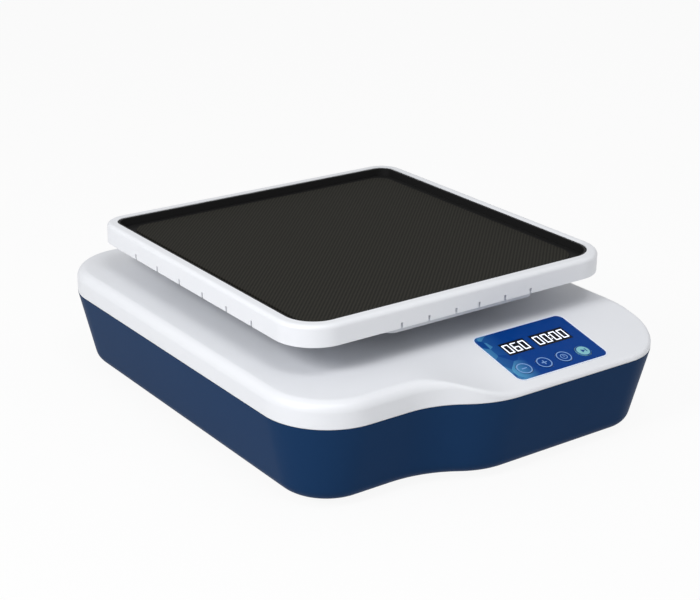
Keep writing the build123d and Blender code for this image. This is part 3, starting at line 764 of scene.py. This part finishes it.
def smooth_min(a: float, b: float, reach: float) -> float:
    """The lower of two heights, with the crossing between them rounded.

    Args:
        a: One height.
        b: The other height.
        reach: How far apart the heights are where the rounding starts.

    Returns:
        The rounded lower height.
    """
    share = max(reach - abs(a - b), 0.0) / reach
    return min(a, b) - share * share * reach / 4


@dataclass
class TopCover:
    """The white cover: flat deck, soft edge, sloped panel and its cut-outs."""

    housing: Housing = field(default_factory=Housing)
    panel: Panel = field(default_factory=Panel)
    height: float = 15.0
    edge_radius: float = 6.0
    nose_radius: float = 2.2
    lip_radius: float = 0.8
    fold_reach: float = 0.7
    fold_lift: float = 0.6

    def slope(self, x: float, y: float) -> float:
        """Height of the sloped surface, which fades out across the step in the front."""
        run = self.housing.step_end_x - self.housing.step_start_x
        share = min(max((x - self.housing.step_start_x) / run, 0.0), 1.0)
        share = share * share * (3 - 2 * share)
        fall = self.panel.steepness() * share * (y - self.panel.fold_y)
        return self.panel.top_z + self.fold_lift * (1 - share) + fall

    def outer(self, x: float, y: float, inset: float) -> float:
        """Height of the outer skin at a place and an inset from the outline."""
        def rounded(top: float, radius: float) -> float:
            """A top with a quarter round of a given radius at its edge."""
            depth = radius - min(inset, radius)
            return top - radius + math.sqrt(max(radius * radius - depth * depth, 0.0))

        deck = rounded(self.panel.top_z, self.edge_radius)
        slope = rounded(self.slope(x, y), self.nose_radius)
        return max(smooth_min(deck, slope, self.fold_reach), self.housing.seam_z + self.lip_radius)

    def inner(self, x: float, y: float, inset: float) -> float:
        """Height of the ceiling inside the cover."""
        top = smooth_min(self.panel.top_z, self.slope(x, y), self.fold_reach)
        return max(top - self.housing.wall, self.housing.seam_z + 0.3)

    def grid(self, bm: bmesh.types.BMesh, face: bmesh.types.BMFace, rule: HeightRule, fine: bool) -> None:
        """Divides a cap over the panel's side and lifts it to its height.

        Args:
            bm: The shape that holds the cap.
            face: The cap.
            rule: The rule for its height.
            fine: Whether the cap shows.
        """
        face.material_index = 1
        step = 4.0 if fine else 12.0
        cuts = [(Vector((x, 0, 0)), Vector((1, 0, 0))) for x in steps(-60, 118, step)]
        cuts += [(Vector((0, y, 0)), Vector((0, 1, 0))) for y in steps(-140, -103, step)]
        cuts += [(Vector((0, y, 0)), Vector((0, 1, 0))) for y in steps(-102, -89, 1.0 if fine else 6.0)]
        for point, way in cuts:
            faces = [f for f in bm.faces if f.material_index == 1]
            parts = set(faces)
            for item in faces:
                parts.update(item.edges)
                parts.update(item.verts)
            bmesh.ops.bisect_plane(bm, geom=list(parts), dist=1e-5, plane_co=point, plane_no=way)
        points = {v for f in bm.faces if f.material_index == 1 for v in f.verts}
        for point in points:
            if all(f.material_index == 1 for f in point.link_faces):
                point.co.z = rule(point.co.x, point.co.y, 1e3)
        for item in bm.faces:
            item.material_index = 0

    def build(self) -> bpy.types.Object:
        """Builds the cover and cuts its openings.

        Returns:
            The finished piece.
        """
        bm = bmesh.new()
        plan = self.housing.plan()
        seam = self.housing.seam_z
        edges = plan.loop(bm, seam + self.lip_radius)
        rise = [math.radians(step) for step in range(0, 91, 10)]
        insets = [self.nose_radius * (1 - math.cos(angle)) for angle in rise]
        rest = self.edge_radius - self.nose_radius
        insets += [self.nose_radius + rest * share for share in (0.33, 0.66, 1.0)]
        top = plan.rows(bm, edges, 0.0, [(inset, self.outer) for inset in insets])
        self.grid(bm, plan.cap(bm, top), self.outer, True)
        lip = [(self.lip_radius * (1 - math.cos(angle)), seam + self.lip_radius * (1 - math.sin(angle)))
               for angle in (math.radians(step) for step in range(15, 91, 15))]
        wall = self.housing.wall
        edges = [e for e in bm.edges if e.is_boundary]
        inside = plan.rows(bm, edges, 0.0, lip + [(wall, seam), (wall, self.inner)])
        self.grid(bm, plan.cap(bm, inside), self.inner, False)
        mesh = to_mesh(bm, "cover_skin")
        for cutter in (self.recess(), self.openings()):
            mesh = carve(mesh, cutter)
        return finish_piece(mesh, "cover_skin", Body.HOUSING, Finishes.cover, ["top_cover"],
                            28.0)

    def recess(self) -> bpy.types.Mesh:
        """The shallow bed of the film and the holes of the five shafts."""
        bm = bmesh.new()
        panel = self.panel
        add_slab(bm, rectangle_plan(panel.film_width, panel.film_height, panel.film_corner),
                 -panel.film_recess, 8, panel.place())
        spread, middle = self.housing.idler_spread, self.housing.drive_y
        low, high = panel.top_z - 2 * self.housing.wall, panel.top_z + 4
        for x in (-spread, spread):
            for y in (middle - spread, middle + spread):
                add_rod(bm, x, y, self.housing.idler_hole, low, high)
        add_rod(bm, 0, middle, self.housing.drive_hole, low, high)
        return to_mesh(bm, "recess_cutter")

    def openings(self) -> bpy.types.Mesh:
        """The windows and the wells of the keys."""
        bm = bmesh.new()
        panel = self.panel
        for x, width in ((panel.speed_x, panel.speed_width), (panel.timer_x, panel.timer_width)):
            plan = rectangle_plan(width + 0.4, panel.window_height + 0.4, 0.4, x, panel.window_y)
            add_slab(bm, plan, -9, 8, panel.place())
        for x in panel.key_xs:
            add_rod(bm, x, panel.key_y, panel.key_radius + panel.key_gap, -panel.key_pocket, 8,
                    panel.place(), 48)
        return to_mesh(bm, "opening_cutter")


def steps(first: float, last: float, step: float) -> list[float]:
    """Evenly spaced values from one number to another."""
    return [first + step * place for place in range(int((last - first) / step) + 1)]


@dataclass
class BaseShell:
    """The coloured base: drafted walls, rounded foot edge, vents, wells and rear cut-outs."""

    housing: Housing = field(default_factory=Housing)
    foot_z: float = 3.5
    draft: float = 13.0
    edge_radius: float = 10.0
    rear_z: float = 28.0
    vent_count: int = 9
    vent_x: float = 20.0
    vent_spacing: float = 6.0
    vent_width: float = 2.4
    vent_height: float = 20.0
    floor_vent_length: float = 30.0
    floor_vent_ys: tuple[float, ...] = (-70.0, 100.0)
    switch_x: float = -76.0
    switch_width: float = 13.2
    switch_height: float = 19.4
    inlet_x: float = -48.0
    inlet_radius: float = 5.6
    column_x: float = 86.0
    column_ys: tuple[float, ...] = (-59.0, 77.0)
    foot_ys: tuple[float, ...] = (-91.0, 109.0)
    post_x: float = 68.0
    post_ys: tuple[float, ...] = (-62.0, 80.0)
    column_radius: float = 6.0
    column_top: float = 40.0
    column_seat: float = 28.0
    boss_radius: float = 5.0
    post_top: float = 30.0
    foot_boss_top: float = 16.0
    post_bevel: float = 0.5
    bevel: float = 0.6
    well_radius: float = 3.8
    bore: float = 1.8

    def section(self, inset: float, floor: float, radius: float) -> list[tuple[float, float]]:
        """The wall's section from the seam to the floor.

        Args:
            inset: The inset at the seam.
            floor: The height of the floor.
            radius: The radius between wall and floor.

        Returns:
            Inset and height of each row.
        """
        lean = math.radians(self.draft)
        foot = inset + (self.housing.seam_z - floor) * math.tan(lean)
        reach = radius * math.tan((math.pi / 2 - lean) / 2)
        rows = []
        count = 10
        for place in range(count + 1):
            angle = (math.pi / 2 - lean) * (1 - place / count)
            rows.append((foot + reach - radius * math.sin(angle), floor + radius - radius * math.cos(angle)))
        top_inset, top_z = rows[0]
        seam = self.housing.seam_z
        middle = [(inset + (top_inset - inset) * share, seam + (top_z - seam) * share)
                  for share in (0.02, 0.5)]
        return middle + rows

    def rear(self, x: float) -> Matrix:
        """The frame of the rear wall at the height of the sockets."""
        lean = math.radians(self.draft)
        y = self.housing.back_y - (self.housing.seam_z - self.rear_z) * math.tan(lean)
        turn = Matrix.Rotation(math.pi, 4, "Z") @ Matrix.Rotation(math.pi / 2 + lean, 4, "X")
        return Matrix.Translation((x, y, self.rear_z)) @ turn

    def build(self) -> list[bpy.types.Object]:
        """Builds the shell and its inner bosses.

        Returns:
            The finished pieces.
        """
        bm = bmesh.new()
        plan = self.housing.plan()
        seam = self.housing.seam_z
        edges = plan.loop(bm, seam)
        wall = self.housing.wall
        under = plan.rows(bm, edges, 0.0, self.section(0.0, self.foot_z, self.edge_radius))
        plan.cap(bm, under)
        edges = [e for e in bm.edges if e.is_boundary]
        section = self.section(wall, self.foot_z + wall, self.edge_radius - wall)
        inside = plan.rows(bm, edges, 0.0, [(wall, seam)] + section)
        plan.cap(bm, inside)
        mesh = carve(to_mesh(bm, "base_skin"), self.openings())
        skin = finish_piece(mesh, "base_skin", Body.HOUSING, Finishes.base, ["base_shell"],
                            28.0)
        return [skin, self.bosses()]

    def openings(self) -> bpy.types.Mesh:
        """Vents, screw wells and the rear wall's cut-outs."""
        bm = bmesh.new()
        corner = self.vent_width / 2 - 0.01
        for place in range(self.vent_count):
            x = self.vent_x + (place - (self.vent_count - 1) / 2) * self.vent_spacing
            add_slab(bm, rectangle_plan(self.vent_width, self.vent_height, corner), -12, 12, self.rear(x))
            for y in self.floor_vent_ys:
                plan = rectangle_plan(self.vent_width, self.floor_vent_length, corner, x, y)
                add_slab(bm, plan, 0, 9)
        cut_out = rectangle_plan(self.switch_width, self.switch_height, 0.3)
        add_slab(bm, cut_out, -14, 14, self.rear(self.switch_x))
        add_rod(bm, 0, 0, self.inlet_radius, -14, 14, self.rear(self.inlet_x))
        for x in (-self.column_x, self.column_x):
            for y in self.column_ys:
                add_rod(bm, x, y, self.well_radius, 0, 9)
        return to_mesh(bm, "base_cutter")

    def bosses(self) -> bpy.types.Object:
        """Posts, bosses and screw wells that stand on the floor inside the base."""
        bm = bmesh.new()
        floor = self.foot_z + self.housing.wall - 0.5
        bore, well, outer, bevel = self.bore, self.well_radius, self.column_radius, self.bevel
        top, seat = self.column_top, self.column_seat

        def boss(high: float, slant: float) -> list[tuple[float, float]]:
            """The section of a bored boss with a small bevel on top."""
            wide = self.boss_radius
            return [(bore, floor), (wide, floor), (wide, high - slant), (wide - slant, high), (bore, high)]

        for x in (-self.post_x, self.post_x):
            for y in self.post_ys:
                add_turned(bm, boss(self.post_top, self.post_bevel), x, y)
        for x in (-self.column_x, self.column_x):
            for y in self.column_ys:
                add_turned(bm, [(well, floor), (outer, floor), (outer, top - bevel), (outer - bevel, top),
                                (bore, top), (bore, seat), (well, seat)], x, y)
            for y in self.foot_ys:
                add_turned(bm, boss(self.foot_boss_top, bevel), x, y)
        mesh = to_mesh(bm, "base_bosses")
        return finish_piece(mesh, "base_bosses", Body.HOUSING, Finishes.base)


@dataclass
class PanelPrinting:
    """The film's border, the lit digits, and the rings and signs of the keys."""

    panel: Panel = field(default_factory=Panel)
    digit_width: float = 4.3
    digit_height: float = 8.0
    stroke: float = 0.8
    digit_pitch: float = 5.8
    colon_shift: float = 0.35
    lit_segments: tuple[tuple[str, str], ...] = (("0", "abcdef"), ("6", "acdefg"))

    def build(self) -> list[bpy.types.Object]:
        """Builds every printed or lit piece of the panel.

        Returns:
            The finished pieces.
        """
        pieces = [self.border(), self.digits()]
        bodies = (Body.MINUS, Body.PLUS, Body.TIMER, Body.START)
        for body, x in zip(bodies, self.panel.key_xs):
            pieces.append(self.key_print(body, x))
        return pieces

    def border(self) -> bpy.types.Object:
        """The pale line round the film."""
        bm = bmesh.new()
        panel = self.panel
        plan = rectangle_plan(panel.film_width, panel.film_height, panel.film_corner, arc_step=6.0)
        low, high = panel.film_top - 0.05, panel.film_top + 0.04
        edges = plan.loop(bm, low)
        plan.rows(bm, edges, 0.0, [(0.0, high), (0.75, high), (0.75, low)])
        ends = [e for e in bm.edges if e.is_boundary]
        bmesh.ops.bridge_loops(bm, edges=ends)
        mesh = to_mesh(bm, "panel_border", panel.place())
        return finish_piece(mesh, "panel_border", Body.HOUSING, Finishes.border)

    def bar(self, bm: bmesh.types.BMesh, x: float, y: float, length: float, upright: bool) -> None:
        """Adds one straight bar with slightly cut corners.

        Args:
            bm: The shape to add to.
            x: The bar's middle along the panel.
            y: The bar's middle up the panel.
            length: Its length.
            upright: Whether it stands up the panel.
        """
        width, height = (self.stroke, length) if upright else (length, self.stroke)
        add_slab(bm, rectangle_plan(width, height, self.stroke * 0.3, x, y, 30), 0.05, 0.09)

    def digit(self, bm: bmesh.types.BMesh, character: str, x: float, y: float) -> None:
        """Adds one seven-bar digit.

        Args:
            bm: The shape to add to.
            character: The digit.
            x: Its middle along the panel.
            y: Its middle up the panel.
        """
        wide = self.digit_width / 2 - self.stroke / 2
        tall = self.digit_height / 2 - self.stroke / 2
        across, up = 2 * wide - 0.1, tall - 0.1
        places = {
            "a": (0, tall, across, False), "d": (0, -tall, across, False), "g": (0, 0, across, False),
            "b": (wide, tall / 2, up, True), "c": (wide, -tall / 2, up, True),
            "e": (-wide, -tall / 2, up, True), "f": (-wide, tall / 2, up, True),
        }
        for name in dict(self.lit_segments)[character]:
            dx, dy, length, upright = places[name]
            self.bar(bm, x + dx, y + dy, length + self.stroke * 0.7, upright)

    def digits(self) -> bpy.types.Object:
        """All lit digits and the colon between hours and minutes."""
        bm = bmesh.new()
        panel = self.panel
        for place, character in enumerate("060"):
            self.digit(bm, character, panel.speed_x + (place - 1) * self.digit_pitch, panel.window_y)
        for place, character in enumerate("0000"):
            shift = self.colon_shift if place > 1 else -self.colon_shift
            x = panel.timer_x + (place - 1.5) * self.digit_pitch + shift
            self.digit(bm, character, x, panel.window_y)
        for y in (-1.5, 1.5):
            add_slab(bm, rectangle_plan(0.8, 0.8, 0.25, panel.timer_x, panel.window_y + y, 30), 0.05, 0.09)
        mesh = to_mesh(bm, "lit_digits", panel.place())
        return finish_piece(mesh, "lit_digits", Body.HOUSING, Finishes.digit)

    def key_print(self, body: Body, x: float) -> bpy.types.Object:
        """The ring and the sign on one key.

        Args:
            body: The key's body.
            x: The key's middle along the panel.

        Returns:
            The finished piece.
        """
        bm = bmesh.new()
        panel = self.panel
        y, low, high = panel.key_y, panel.key_top - 0.05, panel.key_top + 0.04
        outer = panel.key_radius - 0.1
        add_turned(bm, [(outer - 0.65, low), (outer, low), (outer, high), (outer - 0.65, high)], x, y, 64)
        if body in (Body.MINUS, Body.PLUS):
            add_slab(bm, rectangle_plan(3.6, 0.7, 0.2, x, y, 30), low, high)
        if body is Body.PLUS:
            add_slab(bm, rectangle_plan(0.7, 3.6, 0.2, x, y, 30), low, high + 0.01)
        if body is Body.TIMER:
            add_turned(bm, [(1.75, low), (2.2, low), (2.2, high), (1.75, high)], x, y, 40)
            add_slab(bm, rectangle_plan(0.45, 1.6, 0.1, x, y + 0.6, 30), low, high)
            add_slab(bm, rectangle_plan(1.1, 0.45, 0.1, x + 0.4, y, 30), low, high + 0.01)
        if body is Body.START:
            bmesh.ops.create_cone(bm, cap_ends=True, segments=3, radius1=1.7, radius2=1.7, depth=high - low,
                                  matrix=Matrix.Translation((x - 0.3, y, (low + high) / 2))
                                  @ Matrix.Rotation(-math.pi / 2, 4, "Z"))
            add_slab(bm, rectangle_plan(0.6, 2.9, 0.15, x + 1.9, y, 30), low, high)
        mesh = to_mesh(bm, f"{body.value}_print", panel.place())
        finish = Finishes.film if body is Body.START else Finishes.printing
        return finish_piece(mesh, f"{body.value}_print", body, finish)


@dataclass
class CadDressing:
    """Gives each visible CAD node its finish, and smooth copies to those with curved faces."""

    smoothed: tuple[str, ...] = ("tray_frame", "tray_liner", "anti_slip_mat", "carrier_plate", "rubber_feet",
                                 "drive_crank", "drive_seal", "idler_seals", "panel_film")

    def build(self) -> list[bpy.types.Object]:
        """Dresses every node.

        Returns:
            The smooth copies.
        """
        slots = {item["node"]: item["material_slot"] for item in frame["record"]["subparts"]}
        groups = frame["record"]["behaviour"]["bodies"]
        bodies = {node: body for body, nodes in groups.items() for node in nodes}
        copies = []
        for node, item in frame["nodes"].items():
            finish = Finishes.by_slot[slots[node]]
            material = finish.build()
            for slot in item.material_slots:
                slot.material = material
            if node in self.smoothed:
                copies.append(self.copy(node, item, Body(bodies[node]), finish, slots[node]))
        return copies

    def copy(self, node: str, item: bpy.types.Object, body: Body, finish: Finish,
             slot: str) -> bpy.types.Object:
        """Makes a merged, smooth copy of one node.

        Args:
            node: The node's name.
            item: The node's object.
            body: The body that it rides on.
            finish: Its finish.
            slot: Its material slot; not used.

        Returns:
            The copy, which stands for the node.
        """
        bm = bmesh.new()
        bm.from_mesh(item.data)
        bmesh.ops.remove_doubles(bm, verts=bm.verts, dist=1e-6)
        bmesh.ops.dissolve_limit(bm, angle_limit=math.radians(0.5), verts=bm.verts, edges=bm.edges)
        mesh = bpy.data.meshes.new(f"{node}_skin")
        bm.to_mesh(mesh)
        bm.free()
        return finish_piece(mesh, f"{node}_skin", body, finish, [node], 30.0)


@dataclass
class Studio:
    """The floor, the light and the camera."""

    target: tuple[float, float, float] = (-0.00307, -0.00251, 0.06094)
    distance: float = 0.94856
    azimuth: float = -36.02
    elevation: float = 21.29
    roll: float = 0.66
    lens: float = 82.08
    surround: float = 0.46
    floor_grey: float = 0.75
    floor_share: float = 0.92

    def camera(self) -> None:
        """Sets the camera where the photograph was taken from."""
        turn, lift, lean = (math.radians(v) for v in (self.azimuth, self.elevation, self.roll))
        back = Vector((math.sin(turn) * math.cos(lift), -math.cos(turn) * math.cos(lift), math.sin(lift)))
        right = (-back).cross(Vector((0, 0, 1))).normalized()
        up = right.cross(-back)
        across = right * math.cos(lean) + up * math.sin(lean)
        above = up * math.cos(lean) - right * math.sin(lean)
        data = bpy.data.cameras.new("camera")
        data.lens = self.lens
        data.sensor_width = 36.0
        data.clip_start = 0.05
        item = bpy.data.objects.new("camera", data)
        bpy.context.scene.collection.objects.link(item)
        turned = Matrix((across, above, back)).transposed().to_4x4()
        item.matrix_world = Matrix.Translation(Vector(self.target) + back * self.distance) @ turned
        bpy.context.scene.camera = item

    def lamp(self, name: str, place: Sequence[float], aim: Sequence[float], size: float,
             power: float) -> None:
        """Hangs one square soft lamp.

        Args:
            name: The lamp's name.
            place: Where it hangs.
            aim: The point that it faces.
            size: Its side in metres.
            power: Its power in watts.
        """
        data = bpy.data.lights.new(name, "AREA")
        data.shape = "SQUARE"
        data.size = size
        data.energy = power
        item = bpy.data.objects.new(name, data)
        item.location = place
        item.rotation_euler = (Vector(aim) - Vector(place)).to_track_quat("-Z", "Y").to_euler()
        bpy.context.scene.collection.objects.link(item)

    def world(self) -> None:
        """An even pale surround."""
        world = bpy.data.worlds.new("surround")
        bpy.context.scene.world = world
        world.use_nodes = True
        shade = world.node_tree.nodes["Background"]
        shade.inputs["Color"].default_value = (1.0, 1.0, 1.0, 1.0)
        shade.inputs["Strength"].default_value = self.surround

    def floor(self) -> None:
        """A pale floor that keeps the object's shadow and reads as white."""
        bm = bmesh.new()
        bmesh.ops.create_grid(bm, x_segments=2, y_segments=2, size=6.0)
        mesh = bpy.data.meshes.new("floor")
        bm.to_mesh(mesh)
        bm.free()
        item = bpy.data.objects.new("floor", mesh)
        bpy.context.scene.collection.objects.link(item)
        material = bpy.data.materials.new("pale_floor")
        material.use_nodes = True
        tree = material.node_tree
        shader = tree.nodes["Principled BSDF"]
        grey = self.floor_grey
        shader.inputs["Base Color"].default_value = (grey, grey, grey, 1.0)
        shader.inputs["Roughness"].default_value = 0.9
        glow = tree.nodes.new("ShaderNodeEmission")
        glow.inputs["Strength"].default_value = 1.0
        path = tree.nodes.new("ShaderNodeLightPath")
        seen = add_math(tree, "MAXIMUM", path.outputs["Is Camera Ray"], path.outputs["Is Glossy Ray"])
        clear = add_math(tree, "MAXIMUM", seen, path.outputs["Is Transmission Ray"])
        share = add_math(tree, "MULTIPLY", clear, self.floor_share)
        blend = tree.nodes.new("ShaderNodeMixShader")
        tree.links.new(share, blend.inputs[0])
        tree.links.new(shader.outputs[0], blend.inputs[1])
        tree.links.new(glow.outputs[0], blend.inputs[2])
        tree.links.new(blend.outputs[0], tree.nodes["Material Output"].inputs["Surface"])
        mesh.materials.append(material)

    def build(self) -> None:
        """Sets the whole studio."""
        bpy.context.scene.view_settings.view_transform = "Standard"
        self.camera()
        self.world()
        self.floor()
        aim = (0, 0, 0.05)
        self.lamp("left_key", (-1.12, -0.28, 0.88), aim, 0.4, 10.5)
        self.lamp("top_softbox", (-0.25, -0.65, 1.25), aim, 0.5, 5.0)
        self.lamp("right_fill", (1.2, -0.3, 0.6), aim, 0.8, 1.5)


def main() -> None:
    """Builds every piece in order and reports it."""
    logging.basicConfig(level=logging.INFO, format="%(message)s")
    Studio().build()
    TopCover().build()
    BaseShell().build()
    PanelPrinting().build()
    copies = CadDressing().build()
    LOG.info("smooth copies: %d", len(copies))


if __name__ == "__main__":
    main()
